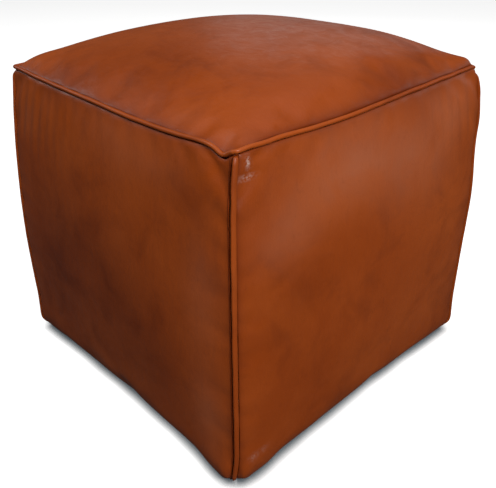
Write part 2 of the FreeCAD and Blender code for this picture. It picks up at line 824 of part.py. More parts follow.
fill_sheet()
parts = []
SIDES = (("right", 0), ("back", 90), ("left", 180), ("front", -90))
CORNERS = (("back_right", 45), ("back_left", 135), ("front_left", 225), ("front_right", -45))

parts.append(top_panel())
for side, turn in SIDES:
    parts.append(side_panel("side_panel_" + side, turn))
    parts.append(top_welt("top_welt_" + side, turn))
    parts.append(top_cord("top_welt_cord_" + side, turn))
for corner, turn in CORNERS:
    parts.append(corner_welt("corner_welt_" + corner, turn))
    parts.append(corner_cord("corner_welt_cord_" + corner, turn))
for half, turn in (("back", 0), ("front", 180)):
    parts.append(base_panel("base_panel_" + half, turn))
    parts.append(zip_tape("zip_tape_" + half, turn))
    parts.append(zip_teeth("zip_teeth_" + half, turn))
    parts.append(zip_stitching("zip_stitching_" + half, turn))
parts.append(zip_stop("zip_top_stop_back", "-0.5 * tooth_run - 4", "tooth_tip", "4.5", 0))
parts.append(zip_stop("zip_top_stop_front", "0.5 * tooth_run + 4", "tooth_tip", "4.5", 180))
parts.append(zip_bottom_stop())
parts.append(zip_slider())
parts.append(zip_pull())

bag_skin = cushion("bag_skin", "sack", "0")
bag_room = cushion("bag_room", "room", "calico")
inner_bag = doc.addObject("Part::Cut", "InnerBag")
inner_bag.Base = bag_skin
inner_bag.Tool = bag_room
inner_bag.Label = "inner_bag"
parts.append(inner_bag)
parts.append(cushion("stuffing", "wad", "(calico + 0.3)"))
doc.recompute()

for thing in doc.Objects:
    if "Invalid" in thing.State or "Error" in thing.State:
        raise RuntimeError("{} did not build: {}".format(thing.Label, thing.State))
os.makedirs("parts", exist_ok=True)
for part in parts:
    shape = part.Shape
    if shape.isNull() or not shape.isValid() or len(shape.Solids) != 1:
        raise RuntimeError("{} is not one sound solid".format(part.Label))
    shape.exportStep(os.path.join("parts", part.Label + ".step"))
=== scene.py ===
import math

import bmesh
import bpy
from mathutils import Matrix, Vector, noise


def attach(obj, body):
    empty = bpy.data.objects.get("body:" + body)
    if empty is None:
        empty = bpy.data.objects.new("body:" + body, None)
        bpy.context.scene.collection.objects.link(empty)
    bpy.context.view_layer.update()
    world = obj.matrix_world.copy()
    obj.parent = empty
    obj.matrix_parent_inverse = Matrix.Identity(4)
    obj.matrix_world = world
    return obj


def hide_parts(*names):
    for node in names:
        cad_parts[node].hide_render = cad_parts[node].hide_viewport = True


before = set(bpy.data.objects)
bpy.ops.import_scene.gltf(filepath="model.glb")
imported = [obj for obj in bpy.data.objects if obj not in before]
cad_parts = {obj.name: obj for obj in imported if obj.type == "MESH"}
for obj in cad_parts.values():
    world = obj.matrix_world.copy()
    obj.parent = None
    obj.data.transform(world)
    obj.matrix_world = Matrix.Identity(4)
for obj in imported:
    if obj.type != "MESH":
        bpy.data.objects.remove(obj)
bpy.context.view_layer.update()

# ------------------------------------------------------------------ the studio
# The pouf stands on a seamless pale floor, seen from above one corner.
# The camera is set down first.
eye = Vector((0.578, -0.543, 0.595))
yaw = math.radians(-46.4)
pitch = math.radians(29.6)
roll = math.radians(-0.475)
ahead = Vector((math.sin(yaw) * math.cos(pitch), math.cos(yaw) * math.cos(pitch),
                -math.sin(pitch)))
level = Vector((math.cos(yaw), -math.sin(yaw), 0.0))
upright = level.cross(ahead)
across = level * math.cos(roll) + upright * math.sin(roll)
above = upright * math.cos(roll) - level * math.sin(roll)

camera_data = bpy.data.cameras.new("studio_camera")
camera_data.lens = 46.3
camera_data.sensor_width = 36.0
camera_data.sensor_fit = "HORIZONTAL"
camera_data.clip_end = 40.0
camera = bpy.data.objects.new("studio_camera", camera_data)
bpy.context.collection.objects.link(camera)
camera.matrix_world = Matrix((
    (across.x, above.x, -ahead.x, eye.x),
    (across.y, above.y, -ahead.y, eye.y),
    (across.z, above.z, -ahead.z, eye.z),
    (0.0, 0.0, 0.0, 1.0),
))
bpy.context.scene.camera = camera
bpy.context.scene.view_settings.view_transform = "Standard"


def new_material(name):
    material = bpy.data.materials.new(name)
    material.use_nodes = True
    return material, material.node_tree.nodes, material.node_tree.links


# The floor is matt white paper that glows a little for the camera, with a contact shadow painted
# into its colour and glow where an occlusion test finds something resting close by.  Light that
# bounces off it is held back, as black cards beside the set would do, so the lower walls stay
# deep.
floor_half_width = 30.0
shade_reach = 0.017
floor_mesh = bmesh.new()
bmesh.ops.create_grid(floor_mesh, x_segments=2, y_segments=2, size=floor_half_width)
floor_data = bpy.data.meshes.new("studio_floor")
floor_mesh.to_mesh(floor_data)
floor_mesh.free()
floor = bpy.data.objects.new("studio_floor", floor_data)
bpy.context.collection.objects.link(floor)
paper, nodes, links = new_material("white_paper")
nodes.remove(nodes["Principled BSDF"])
shown = nodes.new("ShaderNodeBsdfDiffuse")
lift = nodes.new("ShaderNodeEmission")
lift.inputs["Strength"].default_value = 0.75
lifted = nodes.new("ShaderNodeAddShader")
corners = nodes.new("ShaderNodeAmbientOcclusion")
corners.inputs["Distance"].default_value = shade_reach
corners.samples = 12
# Painted contact shadow: occlusion is turned into a grey-blue to white tint for the floor's colour
# and glow.
painted_contact_shadow = nodes.new("ShaderNodeValToRGB")
painted_contact_shadow.color_ramp.elements[0].position = 0.33
painted_contact_shadow.color_ramp.elements[0].color = (0.075, 0.088, 0.098, 1.0)
painted_contact_shadow.color_ramp.elements[1].position = 0.90
painted_contact_shadow.color_ramp.elements[1].color = (1.0, 1.0, 1.0, 1.0)
carded = nodes.new("ShaderNodeBsdfDiffuse")
carded.inputs["Color"].default_value = (0.07, 0.07, 0.075, 1.0)
ray = nodes.new("ShaderNodeLightPath")
choose = nodes.new("ShaderNodeMixShader")
links.new(corners.outputs["AO"], painted_contact_shadow.inputs["Fac"])
links.new(painted_contact_shadow.outputs["Color"], shown.inputs["Color"])
links.new(painted_contact_shadow.outputs["Color"], lift.inputs["Color"])
links.new(shown.outputs[0], lifted.inputs[0])
links.new(lift.outputs[0], lifted.inputs[1])
links.new(ray.outputs["Is Camera Ray"], choose.inputs[0])
links.new(carded.outputs[0], choose.inputs[1])
links.new(lifted.outputs[0], choose.inputs[2])
links.new(choose.outputs[0], nodes["Material Output"].inputs["Surface"])
floor_data.materials.append(paper)

# The air gives a faint cool light; behind the set hangs a pale backdrop.
world = bpy.data.worlds.new("studio_air")
bpy.context.scene.world = world
world.use_nodes = True
nodes, links = world.node_tree.nodes, world.node_tree.links
air = nodes["Background"]
air.inputs["Color"].default_value = (0.93, 0.96, 1.0, 1.0)
air.inputs["Strength"].default_value = 0.045
backdrop = nodes.new("ShaderNodeBackground")
backdrop.inputs["Color"].default_value = (0.88, 0.90, 0.92, 1.0)
looked_at = nodes.new("ShaderNodeLightPath")
either = nodes.new("ShaderNodeMixShader")
links.new(looked_at.outputs["Is Camera Ray"], either.inputs[0])
links.new(air.outputs[0], either.inputs[1])
links.new(backdrop.outputs[0], either.inputs[2])
links.new(either.outputs[0], nodes["World Output"].inputs["Surface"])


def softbox(name, place, target, width, height, power, colour):
    data = bpy.data.lights.new(name, "AREA")
    data.shape = "RECTANGLE"
    data.size = width
    data.size_y = height
    data.energy = power
    data.color = colour
    lamp = bpy.data.objects.new(name, data)
    bpy.context.collection.objects.link(lamp)
    lamp.location = place
    lamp.rotation_euler = (Vector(target) - Vector(place)).to_track_quat("-Z", "Y").to_euler()


softbox("key_softbox", (2.1, -0.7, 1.9), (0.0, 0.0, 0.25), 1.3, 1.1, 56.0, (1.0, 0.98, 0.95))
softbox("top_softbox", (0.2, 0.4, 2.6), (0.0, 0.0, 0.3), 2.4, 2.4, 9.0, (1.0, 1.0, 1.0))
softbox("front_softbox", (-0.7, -1.6, 2.5), (0.0, 0.0, 0.3), 1.5, 1.5, 20.0, (1.0, 0.99, 0.97))
softbox("left_softbox", (-2.3, -0.9, 1.35), (0.0, -0.2, 0.3), 0.9, 0.9, 5.0, (0.93, 0.97, 1.0))
softbox("back_softbox", (-1.3, 1.9, 1.1), (0.0, 0.0, 0.25), 1.4, 1.1, 2.2, (1.0, 0.99, 0.97))
softbox("right_softbox", (1.0, 2.3, 1.0), (0.2, 0.1, 0.3), 1.2, 1.0, 3.0, (1.0, 0.98, 0.96))

# ------------------------------------------------------------------ the stuffed form
# The whole cover is first shaped as one closed skin over its stuffing: bowed walls, a crowned top
# and a flat base.  It is blown up as cloth, dressed with listed moves and then cut into its
# panels.
seam_height = 0.395
base_seam = 0.176
crown_rise = 0.042
crown_power = 0.395
form_cuts = 63
swell_limit = 0.0042
floor_level = 0.0005


class Wall:
    """An upright line down a wall: a bowed arc with a turn onto the base under it."""

    def __init__(self, belly, belly_height, bow, turn, foot):
        self.belly_height = belly_height
        self.bow = bow
        self.turn = turn
        self.foot = foot
        self.centre = belly - bow
        fall = belly_height - turn
        self.turn_centre = self.centre + math.sqrt((bow - turn) ** 2 - fall ** 2)
        self.meeting = math.atan2(-fall, self.turn_centre - self.centre)
        top_angle = math.asin((seam_height - belly_height) / bow)
        self.under = self.turn_centre - foot
        self.round_over = turn * (math.pi / 2 + self.meeting)
        self.length = self.under + self.round_over + bow * (top_angle - self.meeting)

    def point(self, share):
        travel = share * self.length
        if travel < self.under:
            return self.foot + travel, 0.0
        travel -= self.under
        if travel < self.round_over:
            angle = travel / self.turn - math.pi / 2
            return (self.turn_centre + self.turn * math.cos(angle),
                    self.turn + self.turn * math.sin(angle))
        angle = self.meeting + (travel - self.round_over) / self.bow
        return (self.centre + self.bow * math.cos(angle),
                self.belly_height + self.bow * math.sin(angle))


mid_wall = Wall(0.2288, 0.164, 1.143, 0.0365, base_seam)
corner_wall = Wall(0.3054, 0.087, 1.875, 0.020, base_seam * math.sqrt(2))
mid_top = mid_wall.point(1.0)[0]
corner_top = corner_wall.point(1.0)[0] / math.sqrt(2)


def crowd(value):
    """Bring grid lines closer together towards the seams."""
    return 0.36 * value + 0.64 * math.sin(value * math.pi / 2)


def wall_place(side, height):
    """A point of the wall that faces +X, side and height running from -1 to 1."""
    share = (height + 1) / 2
    mid_reach, mid_height = mid_wall.point(share)
    reach, edge_height = corner_wall.point(share)
    reach /= math.sqrt(2)
    bend = side * side
    return Vector((mid_reach - (mid_reach - reach) * bend, reach * side,
                   mid_height - (mid_height - edge_height) * bend))


def crown_place(across_x, across_y):
    """A point of the crowned top."""
    bow = mid_top - corner_top
    x = across_x * (corner_top + bow * (1 - across_y ** 2))
    y = across_y * (corner_top + bow * (1 - across_x ** 2))
    power_x = crown_power + 0.10 * max(0.0, across_x) ** 2
    power_y = crown_power + 0.26 * max(0.0, -across_y) ** 2
    swell = max(0.0, 1 - across_x ** 2) ** power_x * max(0.0, 1 - across_y ** 2) ** power_y
    return Vector((x, y, seam_height + crown_rise * swell))


form = bmesh.new()
bmesh.ops.create_cube(form, size=2.0)
bmesh.ops.subdivide_edges(form, edges=form.edges[:], cuts=form_cuts, use_grid_fill=True)
panel_of = {
    (0, 0, 1): 0, (1, 0, 0): 1, (0, 1, 0): 2, (-1, 0, 0): 3, (0, -1, 0): 4, (0, 0, -1): 5,
}
for face in form.faces:
    face.material_index = panel_of[tuple(round(part) for part in face.normal)]
seam_layer = form.verts.layers.float.new("seam_distance")
seam_kind = form.verts.layers.int.new("seam_kind")
TOP_SEAM, CORNER_SEAM, BASE_SEAM = 1, 2, 3
pinned = []
for vert in form.verts:
    p, q, r = (crowd(part) for part in vert.co)
    on_seam = sum(abs(part) > 0.9999 for part in vert.co) >= 2
    if r > 0.9999:
        vert.co = crown_place(p, q)
        gap = min(1 - abs(p), 1 - abs(q)) * corner_top
    elif r < -0.9999:
        vert.co = Vector((p * base_seam, q * base_seam, 0.0))
        gap = min(1 - abs(p), 1 - abs(q)) * base_seam
    else:
        quarter = 0
        side, face_out = q, p
        if abs(q) > abs(p):
            quarter = 1
            side, face_out = -p, q
        if face_out < 0:
            quarter += 2
            side = -side
        vert.co = Matrix.Rotation(quarter * math.pi / 2, 3, "Z") @ wall_place(side, r)
        gap = min((1 - abs(side)) * 0.21, (1 - abs(r)) * 0.22)
    vert[seam_layer] = 0.0 if on_seam else gap
    if on_seam:
        pinned.append(vert.index)
        vert[seam_kind] = TOP_SEAM if r > 0.9999 else BASE_SEAM if r < -0.9999 else CORNER_SEAM
form.normal_update()

form_data = bpy.data.meshes.new("stuffed_form")
form.to_mesh(form_data)
resting = [vert.co.copy() for vert in form_data.vertices]
outward = [vert.normal.copy() for vert in form_data.vertices]

# Blown up from inside: the sewing lines are held and no point may travel far.  Skin a little
# too big for its seams puckers along them.
form.verts.ensure_lookup_table()
blow_frames = 20
blown = bpy.data.objects.new("stuffed_form", form_data)
bpy.context.collection.objects.link(blown)
hold = blown.vertex_groups.new(name="hold")
hold.add(pinned, 1.0, "REPLACE")
hold.add([i for i, spot in enumerate(resting) if spot.z < floor_level], 1.0, "REPLACE")
cloth = blown.modifiers.new("cloth", "CLOTH")
cloth.settings.vertex_group_mass = "hold"
cloth.settings.quality = 6
cloth.settings.mass = 0.6
cloth.settings.tension_stiffness = 25.0
cloth.settings.compression_stiffness = 25.0
cloth.settings.shear_stiffness = 10.0
cloth.settings.bending_stiffness = 14.0
cloth.settings.shrink_min = -0.006
cloth.settings.use_pressure = True
cloth.settings.uniform_pressure_force = 4.0
cloth.settings.effector_weights.gravity = 0.0
cloth.collision_settings.use_collision = False
cloth.point_cache.frame_start = 1
cloth.point_cache.frame_end = blow_frames
for step in range(1, blow_frames + 1):
    bpy.context.scene.frame_set(step)
found = blown.evaluated_get(bpy.context.evaluated_depsgraph_get())
swollen = [vert.co.copy() for vert in found.data.vertices]
bpy.context.scene.frame_set(1)
bpy.data.objects.remove(blown)
for vert, rest, spot in zip(form.verts, resting, swollen):
    travel = spot - rest
    if travel.length > 0.0:
        travel *= swell_limit * math.tanh(travel.length / swell_limit) / travel.length
    vert.co = rest + travel


def near(spot, middle, reach):
    """A soft bump of height 1 at the middle that fades over the reach along each axis."""
    return math.exp(-sum(((a - b) / c) ** 2 for a, b, c in zip(spot, middle, reach)))


# The leather rolls over into each seam, so a valley runs either side of the sewing line.
for vert, way in zip(form.verts, outward):
    gap = vert[seam_layer]
    roll = 0.0008 if vert.co.z > seam_height + 0.0005 else 0.0020
    vert.co += way * roll * (1 - math.exp(-(gap / 0.0030) ** 2)) * math.exp(-gap / 0.05)

# Years of sitting have moved the skin about; each line is a way, how far, and where.  The top
# seams sag towards the near corner, most of all just before it.  The back right corner bulges
# and its top is plump, though its seam has dropped; the front left one is drawn in at the
# side and raised on top.
corner_way = Vector((0.7071, 0.7071, 0.0))
up = Vector((0.0, 0.0, 1.0))
settled = (
    (up, -0.0032, (0.085, -0.205, 0.395), (0.085, 0.05, 0.05)),
    (up, -0.0074, (0.1835, -0.201, 0.394), (0.0105, 0.016, 0.016)),
    (up, -0.0030, (0.205, -0.065, 0.395), (0.05, 0.075, 0.05)),
    (corner_way, 0.0088, (0.205, 0.205, 0.345), (0.06, 0.06, 0.045)),
    (corner_way, 0.0035, (0.205, 0.205, 0.378), (0.03, 0.03, 0.018)),
    (corner_way, 0.0055, (0.205, 0.205, 0.240), (0.06, 0.06, 0.070)),
    (corner_way, -0.0040, (-0.205, -0.205, 0.220), (0.06, 0.06, 0.230)),
    (up, 0.0045, (0.188, 0.188, 0.406), (0.022, 0.022, 0.03)),
    (up, -0.0065, (0.212, 0.212, 0.395), (0.040, 0.030, 0.04)),
    (up, 0.0030, (0.100, 0.150, 0.430), (0.08, 0.07, 0.05)),
    (up, 0.0035, (-0.178, -0.178, 0.408), (0.028, 0.028, 0.03)),
)


def hump(distance, middle, reach):
    """The same soft bump along one measure."""
    return math.exp(-((distance - middle) / reach) ** 2)


def near_corner_lean(height):
    """How far the near corner leans towards the back: out at the top and in at the foot."""
    out_above = 0.0032 / (1 + math.exp(-(height - 0.375) / 0.008))
    in_below = 0.0042 / (1 + math.exp((height - 0.034) / 0.008))
    return out_above + 0.001 * height / 0.4 - in_below - 0.0008


# The near corner also leans, and is rounded off at the foot with the skin filled out either
# side of it; the whole foot is spread by the weight on it.
lean_way = Vector((0.69, 0.724, 0.0))
inward = Vector((-0.7071, 0.7071, 0.0))
foot_spread = 0.0034
for vert in form.verts:
    spot = vert.co.copy()
    move = Vector()
    for way, amount, middle, reach in settled:
        move += way * amount * near(spot, middle, reach)
    clear = 1 - math.exp(-vert[seam_layer] / 0.004)
    move.z += 0.0105 * clear * near(spot, (0.199, 0.199, 0.402), (0.014, 0.014, 0.03))
    beside = math.hypot(spot.x - 0.205, spot.y + 0.205)
    move += lean_way * near_corner_lean(spot.z) * hump(beside, 0.0, 0.045)
    if spot.z > floor_level:
        off_corner = abs(spot.x + spot.y) if spot.x - spot.y > 0.30 else 1.0
        round_off = 0.0088 * hump(off_corner, 0.0, 0.011)
        fill_out = (0.0042 * hump(off_corner, 0.042, 0.020)
                    + 0.0032 * hump(off_corner, 0.019, 0.011))
        move += inward * (round_off - fill_out) * hump(spot.z, 0.0, 0.036)
        foot = foot_spread * hump(spot.z, 0.0, 0.040)
        move.x += foot * math.tanh(spot.x / 0.05)
        move.y += foot * math.tanh(spot.y / 0.05)
    vert.co += move
    vert.co.z = max(vert.co.z, 0.0)


def crease(first, last, width, depth, shoulder=0.35):
    """Press a fold into the form along a straight line, with a low ridge either side."""
    start = Vector(first)
    run = Vector(last) - start
    for vert in form.verts:
        share = (vert.co - start).dot(run) / run.length_squared
        held = min(1.0, max(0.0, share))
        away = (vert.co - start - run * held).length
        if away > width * 4:
            continue
        fade = math.sin(math.pi * min(1.0, max(0.0, 0.12 + 0.76 * held)))
        ring = hump(away, 0.0, width) - shoulder * hump(away, 2 * width, width)
        guard = 1 - math.exp(-(vert[seam_layer] / 0.004) ** 2)
        vert.co -= outward[vert.index] * depth * ring * fade * guard


# A small swelling sits in the angle between the right top seam and the near corner.
for vert in form.verts:
    vert.co += outward[vert.index] * 0.0018 * near(vert.co, (0.204, -0.182, 0.379),
                                                  (0.02, 0.009, 0.008))

# Gathers slant down from the front seam near the left corner, and hang under the right seam
# near its far corner; one long soft fold crosses the right wall low down by the near corner.
for step in range(9):
    left = -0.190 + step * 0.019
    slant = 0.020 - 0.001 * step
    deep = (0.0018, 0.0024, 0.0017, 0.0028, 0.0020, 0.0016, 0.0021, 0.0012, 0.0010)[step]
    crease((left + 0.010, -0.208, 0.384), (left + 0.010 - slant, -0.216, 0.322 - 0.004 * step),
           0.0058, deep)
for step in range(6):
    far = 0.085 + step * 0.019
    deep = (0.0008, 0.0012, 0.0016, 0.0014, 0.0018, 0.0014)[step]
    crease((0.209, far - 0.004, 0.383), (0.219, far + 0.006, 0.315), 0.0060, deep)
crease((0.2105, -0.186, 0.370), (0.2155, -0.168, 0.362), 0.0024, 0.0010)
crease((0.2105, -0.189, 0.362), (0.2160, -0.166, 0.352), 0.0024, 0.0013)
crease((0.2130, -0.190, 0.240), (0.2250, -0.130, 0.262), 0.0052, 0.0014)
crease((0.2130, -0.188, 0.222), (0.2240, -0.150, 0.232), 0.0040, 0.0007)
form.normal_update()
form.verts.ensure_lookup_table()

# ------------------------------------------------------------------ the leather
# Vegetable-tanned goat hide, dyed cognac through and rubbed with wax: cloudy colour, fine
# grain, a dark line where dye gathers in the seams, and a soft shine.
def group_of(name, wants, gives):
    group = bpy.data.node_groups.new(name, "ShaderNodeTree")
    for label, kind, value in wants:
        socket = group.interface.new_socket(label, in_out="INPUT", socket_type=kind)
        if value is not None:
            socket.default_value = value
    for label, kind in gives:
        group.interface.new_socket(label, in_out="OUTPUT", socket_type=kind)
    return group, group.nodes.new("NodeGroupInput"), group.nodes.new("NodeGroupOutput")


def noise_at(nodes, links, vector, scale, detail=4.0, roughness=0.55, distortion=0.0):
    node = nodes.new("ShaderNodeTexNoise")
    node.inputs["Scale"].default_value = scale
    node.inputs["Detail"].default_value = detail
    node.inputs["Roughness"].default_value = roughness
    node.inputs["Distortion"].default_value = distortion
    links.new(vector, node.inputs["Vector"])
    return node.outputs[0]


def ramp_of(nodes, links, value, low, high, bottom=0.0, top=1.0):
    node = nodes.new("ShaderNodeMapRange")
    node.inputs["From Min"].default_value = low
    node.inputs["From Max"].default_value = high
    node.inputs["To Min"].default_value = bottom
    node.inputs["To Max"].default_value = top
    links.new(value, node.inputs["Value"])
    return node.outputs["Result"]


def sum_of(nodes, links, operation, first, second):
    node = nodes.new("ShaderNodeMath")
    node.operation = operation
    for socket, value in zip(node.inputs, (first, second)):
        if isinstance(value, (int, float)):
            socket.default_value = value
        else:
            links.new(value, socket)
    return node.outputs[0]


def blend_of(nodes, links, factor, first, second):
    node = nodes.new("ShaderNodeMix")
    node.data_type = "RGBA"
    for socket, value in zip((node.inputs[0], node.inputs[6], node.inputs[7]),
                             (factor, first, second)):
        if hasattr(value, "is_output"):
            links.new(value, socket)
        else:
            socket.default_value = value
    return node.outputs[2]


def stretched(nodes, links, vector, scale):
    node = nodes.new("ShaderNodeMapping")
    node.inputs["Scale"].default_value = scale
    links.new(vector, node.inputs["Vector"])
    return node.outputs[0]


hide_group, hide_in, hide_out = group_of("cognac_hide", [
    ("Vector", "NodeSocketVector", None),
    ("Seam", "NodeSocketFloat", 0.0),
    ("Painted Glint", "NodeSocketFloat", 0.0),
    ("Painted Sheen", "NodeSocketFloat", 0.0),
    ("Darkening", "NodeSocketFloat", 0.0),
    ("Deep", "NodeSocketColor", (0.105, 0.0120, 0.0006, 1.0)),
    ("Body", "NodeSocketColor", (0.335, 0.0560, 0.0045, 1.0)),
    ("Bloom", "NodeSocketColor", (0.445, 0.0860, 0.0110, 1.0)),
], [
    ("Color", "NodeSocketColor"),
    ("Roughness", "NodeSocketFloat"),
    ("Height", "NodeSocketFloat"),
])
nodes, links = hide_group.nodes, hide_group.links
spot = hide_in.outputs["Vector"]
clouds = noise_at(nodes, links, spot, 4.5, 5.0, 0.6, 0.4)
patches = noise_at(nodes, links, spot, 15.0, 6.0, 0.60, 0.7)
specks = noise_at(nodes, links, spot, 120.0, 4.0, 0.6)
grain = nodes.new("ShaderNodeTexVoronoi")
grain.feature = "SMOOTH_F1"
grain.inputs["Scale"].default_value = 900.0
links.new(spot, grain.inputs["Vector"])
fine = noise_at(nodes, links, spot, 1500.0, 3.0, 0.6)
rubs = noise_at(nodes, links, spot, 40.0, 5.0, 0.65, 1.4)
upright_grain = stretched(nodes, links, spot, (1.0, 1.0, 0.16))
gathers = noise_at(nodes, links, upright_grain, 95.0, 3.0, 0.5, 0.3)
bloom = ramp_of(nodes, links, clouds, 0.40, 0.68)
toned = blend_of(nodes, links, bloom, hide_in.outputs["Body"], hide_in.outputs["Bloom"])
shade = ramp_of(nodes, links, patches, 0.50, 0.75, 0.0, 0.34)
toned = blend_of(nodes, links, shade, toned, hide_in.outputs["Deep"])
cloudy = ramp_of(nodes, links, patches, 0.35, 0.65, 0.70, 1.25)
# Darker patches: the listed spots are blended towards the deep tone.
darkened = sum_of(nodes, links, "MULTIPLY", hide_in.outputs["Darkening"], cloudy)
toned = blend_of(nodes, links, darkened, toned, hide_in.outputs["Deep"])
# Painted sheen: the listed patches are blended towards a pale orange, as a hazy reflection of
# light would look.
sheen_paint = sum_of(nodes, links, "MULTIPLY", hide_in.outputs["Painted Sheen"], cloudy)
toned = blend_of(nodes, links, sheen_paint, toned, (0.60, 0.200, 0.100, 1.0))
fleck = ramp_of(nodes, links, specks, 0.60, 0.78, 0.0, 0.15)
toned = blend_of(nodes, links, fleck, toned, hide_in.outputs["Deep"])
gather = sum_of(nodes, links, "MULTIPLY", hide_in.outputs["Seam"], 0.85)
toned = blend_of(nodes, links, gather, toned, hide_in.outputs["Deep"])
drawn_grain = stretched(nodes, links, spot, (1.0, 0.35, 1.0))
streaks = noise_at(nodes, links, drawn_grain, 420.0, 3.0, 0.6)
# Painted highlight at the glint spots listed on the panels, lightened towards a pale pinkish grey
# and broken into streaks.
glint_mix = sum_of(nodes, links, "MULTIPLY", hide_in.outputs["Painted Glint"],
              ramp_of(nodes, links, streaks, 0.40, 0.62))
toned = blend_of(nodes, links, glint_mix, toned, (0.72, 0.52, 0.46, 1.0))
links.new(toned, hide_out.inputs["Color"])
matt = ramp_of(nodes, links, rubs, 0.35, 0.68, 0.36, 0.52)
polish = ramp_of(nodes, links, patches, 0.40, 0.65, -0.04, 0.05)
rough = sum_of(nodes, links, "ADD", matt, polish)
shine = sum_of(nodes, links, "MULTIPLY", hide_in.outputs["Painted Glint"], 0.20)
links.new(sum_of(nodes, links, "SUBTRACT", rough, shine), hide_out.inputs["Roughness"])
pebbles = sum_of(nodes, links, "MULTIPLY", grain.outputs["Distance"], 0.40)
dust = sum_of(nodes, links, "MULTIPLY", fine, 0.20)
folds = sum_of(nodes, links, "MULTIPLY", rubs, 1.5)
pulls = sum_of(nodes, links, "MULTIPLY", gathers, 2.0)
relief = sum_of(nodes, links, "ADD", sum_of(nodes, links, "ADD", pebbles, dust),
                sum_of(nodes, links, "ADD", folds, pulls))
links.new(relief, hide_out.inputs["Height"])


def leather_material(name, turn, relief=0.38):
    """One hide's worth of leather; turn picks a different patch of skin."""
    material, nodes, links = new_material(name)
    shader = nodes["Principled BSDF"]
    where = nodes.new("ShaderNodeTexCoord")
    mapping = nodes.new("ShaderNodeMapping")
    mapping.inputs["Location"].default_value = (turn * 0.37, turn * 0.21, turn * 0.53)
    mapping.inputs["Rotation"].default_value = (0.0, 0.12 * math.sin(turn), turn * 1.3)
    links.new(where.outputs["Object"], mapping.inputs["Vector"])
    gathered = nodes.new("ShaderNodeAttribute")
    gathered.attribute_name = "seam"
    hide = nodes.new("ShaderNodeGroup")
    hide.node_tree = hide_group
    links.new(mapping.outputs["Vector"], hide.inputs["Vector"])
    links.new(gathered.outputs["Fac"], hide.inputs["Seam"])
    # These attributes carry the painted highlights at the glints, the painted sheen and the darker
    # patches.
    for painted, wanted in (("scuff_and_glint", "Painted Glint"), ("painted_sheen", "Painted Sheen"), ("darkening", "Darkening")):
        mark = nodes.new("ShaderNodeAttribute")
        mark.attribute_name = painted
        links.new(mark.outputs["Fac"], hide.inputs[wanted])
    bump = nodes.new("ShaderNodeBump")
    bump.inputs["Strength"].default_value = relief
    bump.inputs["Distance"].default_value = 0.0006
    links.new(hide.outputs["Height"], bump.inputs["Height"])
    links.new(hide.outputs["Color"], shader.inputs["Base Color"])
    links.new(hide.outputs["Roughness"], shader.inputs["Roughness"])
    links.new(bump.outputs["Normal"], shader.inputs["Normal"])
    shader.inputs["IOR"].default_value = 1.48
    shader.inputs["Specular IOR Level"].default_value = 0.33
    shader.inputs["Coat Weight"].default_value = 0.08
    shader.inputs["Coat Roughness"].default_value = 0.25
    return material


# ------------------------------------------------------------------ panels
# One top, four walls and two halves of the base, each cut from 1.6 mm hide, their edges turned
# inside along the sewing lines.
leather_thickness = 0.0016
allowance = 0.007
zip_mouth = 0.0055
trough_slope = 0.014
trough_rise = 0.0032
edge_setback = 0.0010


def finish_piece(name, mesh, material, body="cover"):
    data = bpy.data.meshes.new(name)
    mesh.to_mesh(data)
    mesh.free()
    for polygon in data.polygons:
        polygon.use_smooth = True
        polygon.material_index = 0
    data.materials.append(material)
    piece = bpy.data.objects.new(name, data)
    bpy.context.collection.objects.link(piece)
    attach(piece, body)
    return piece


def soften(piece):
    """Round the mesh off between its points."""
    rounding = piece.modifiers.new("soften", "SUBSURF")
    rounding.levels = 1
    rounding.render_levels = 1


def thicken(piece, thickness):
    """Give a skin its thickness, inwards."""
    solid = piece.modifiers.new("thickness", "SOLIDIFY")
    solid.thickness = thickness
    solid.offset = -1.0


def cut_panel(number, keep):
    """Copy the form and keep one panel of it, or the half of the base on one side of the zip."""
    panel = form.copy()
    strangers = [face for face in panel.faces if face.material_index != number]
    bmesh.ops.delete(panel, geom=strangers, context="FACES")
    if keep:
        bmesh.ops.bisect_plane(panel, geom=panel.verts[:] + panel.edges[:] + panel.faces[:],
                               plane_co=(0, keep * zip_mouth, 0), plane_no=(0, -keep, 0),
                               clear_outer=True)
        for vert in panel.verts:
            beside = abs(vert.co.y) - zip_mouth
            vert.co.z = trough_rise * max(0.0, 1 - beside / trough_slope)
    return panel


def turn_in(panel, setback):
    """Roll the cut edges inside the seam."""
    panel.normal_update()
    seam = panel.verts.layers.float["seam_distance"]
    rim = [edge for edge in panel.edges if edge.is_boundary]
    middle = sum((vert.co for vert in panel.verts), Vector()) / len(panel.verts)
    ways = {}
    for vert in {vert for edge in rim for vert in edge.verts}:
        out = vert.normal.copy()
        beside = middle - vert.co
        beside -= out * beside.dot(out)
        run = Vector()
        for edge in vert.link_edges:
            if edge.is_boundary:
                step = (edge.other_vert(vert).co - vert.co).normalized()
                run += step if step.dot(run) >= 0 else -step
        run.normalize()
        straight = beside - run * beside.dot(run)
        if straight.length > 0.15 * beside.length:
            beside = straight
        ways[vert] = (beside.normalized(), out)
    for vert, (beside, out) in ways.items():
        vert.co += beside * setback(vert.co)
    sharpened = {tuple(vert.co): pair for vert, pair in ways.items()}
    grown = bmesh.ops.extrude_edge_only(panel, edges=rim)["geom"]
    for vert in grown:
        if isinstance(vert, bmesh.types.BMVert):
            beside, out = sharpened[tuple(vert.co)]
            vert.co += beside * 0.0006 - out * allowance
            vert[seam] = 0.0
    panel.normal_update()
